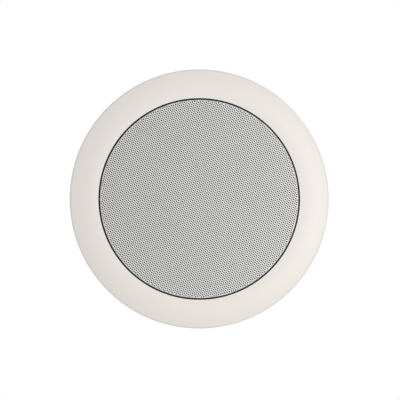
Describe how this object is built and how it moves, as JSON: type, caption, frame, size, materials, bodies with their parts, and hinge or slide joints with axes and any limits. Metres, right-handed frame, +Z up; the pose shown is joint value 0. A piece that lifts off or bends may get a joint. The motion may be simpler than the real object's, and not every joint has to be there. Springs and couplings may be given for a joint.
{
  "type": "ceiling loudspeaker",
  "caption": "Round flush-mount ceiling loudspeaker: broad white bezel, perforated metal grille, cone driver with line transformer behind, and sprung clamp arms.",
  "frame": {"origin": "centre of the bezel's front plane, on the speaker's axis, which is the lowest point", "axes": "+Z points up into the ceiling, along the speaker's axis; the grille faces -Z; the clamps lie on +X and -X, the transformer on +Y and the terminal block on -Y"},
  "size_m": [0.199, 0.199, 0.0705],
  "materials": {
    "bezel_plastic": "moulded, fine satin",
    "grille_paint": "powder coated white, satin",
    "gasket_foam": "closed-cell foam",
    "basket_paint": "black, satin",
    "zinc_screw": "zinc plated",
    "edge_cloth": "doped cloth",
    "cone_paper": "pressed paper pulp",
    "whizzer_paper": "pressed paper",
    "former_film": "film",
    "coil_copper": "enamelled wire",
    "spider_cloth": "resin-dipped cloth",
    "plate_steel": "turned, zinc plated",
    "ferrite": "sintered ferrite, matt",
    "phenolic_board": "paper laminate",
    "tinned_metal": "tinned",
    "tinsel_braid": "braided",
    "zinc_sheet": "zinc plated, satin",
    "core_iron": "varnished laminations",
    "bobbin_nylon": "natural nylon",
    "winding_tape": "polyester tape",
    "block_plastic": "moulded, semi-gloss",
    "lead_insulation": "insulated wire",
    "pin_steel": "bright",
    "spring_wire": "spring steel"
  },
  "bodies": {
    "speaker_body": {"bezel_frame": "bezel_plastic", "grille": "grille_paint", "driver_gasket": "gasket_foam", "basket": "basket_paint", "driver_screws": "zinc_screw", "surround": "edge_cloth", "spider": "spider_cloth", "top_plate": "plate_steel", "magnet": "ferrite", "yoke": "plate_steel", "tag_board": "phenolic_board", "solder_tags": "tinned_metal", "tinsel_leads": "tinsel_braid", "rear_bracket": "zinc_sheet", "bracket_screw": "zinc_screw", "transformer_core": "core_iron", "transformer_bobbin": "bobbin_nylon", "transformer_winding": "winding_tape", "transformer_strap": "zinc_sheet", "transformer_screws": "zinc_screw", "terminal_block": "block_plastic", "terminal_screws": "zinc_screw", "hookup_leads": "lead_insulation", "clamp_pin_right": "pin_steel", "clamp_pin_left": "pin_steel", "clamp_spring_right": "spring_wire", "clamp_spring_left": "spring_wire"},
    "cone_assembly": {"cone": "cone_paper", "whizzer_cone": "whizzer_paper", "dust_cap": "cone_paper", "coil_former": "former_film", "voice_coil": "coil_copper"},
    "right_clamp": {"clamp_arm_right": "zinc_sheet"},
    "left_clamp": {"clamp_arm_left": "zinc_sheet"}
  },
  "joints": [
    {"name": "cone_travel", "type": "slide", "parent": "speaker_body", "child": "cone_assembly", "axis": [0, 0, 1], "range_m": [-0.002, 0.002], "stiffness_N_per_m": 2500, "deforming": ["surround", "spider", "tinsel_leads"]},
    {"name": "right_clamp_hinge", "type": "hinge", "parent": "speaker_body", "child": "right_clamp", "pos_m": [0.077, 0, 0.019], "axis": [0, -1, 0], "range_deg": [0, 110], "stiffness_Nm_per_rad": 0.12, "springref_deg": -57.3, "deforming": ["clamp_spring_right"]},
    {"name": "left_clamp_hinge", "type": "hinge", "parent": "speaker_body", "child": "left_clamp", "pos_m": [-0.077, 0, 0.019], "axis": [0, 1, 0], "range_deg": [0, 110], "stiffness_Nm_per_rad": 0.12, "springref_deg": -57.3, "deforming": ["clamp_spring_left"]}
  ]
}
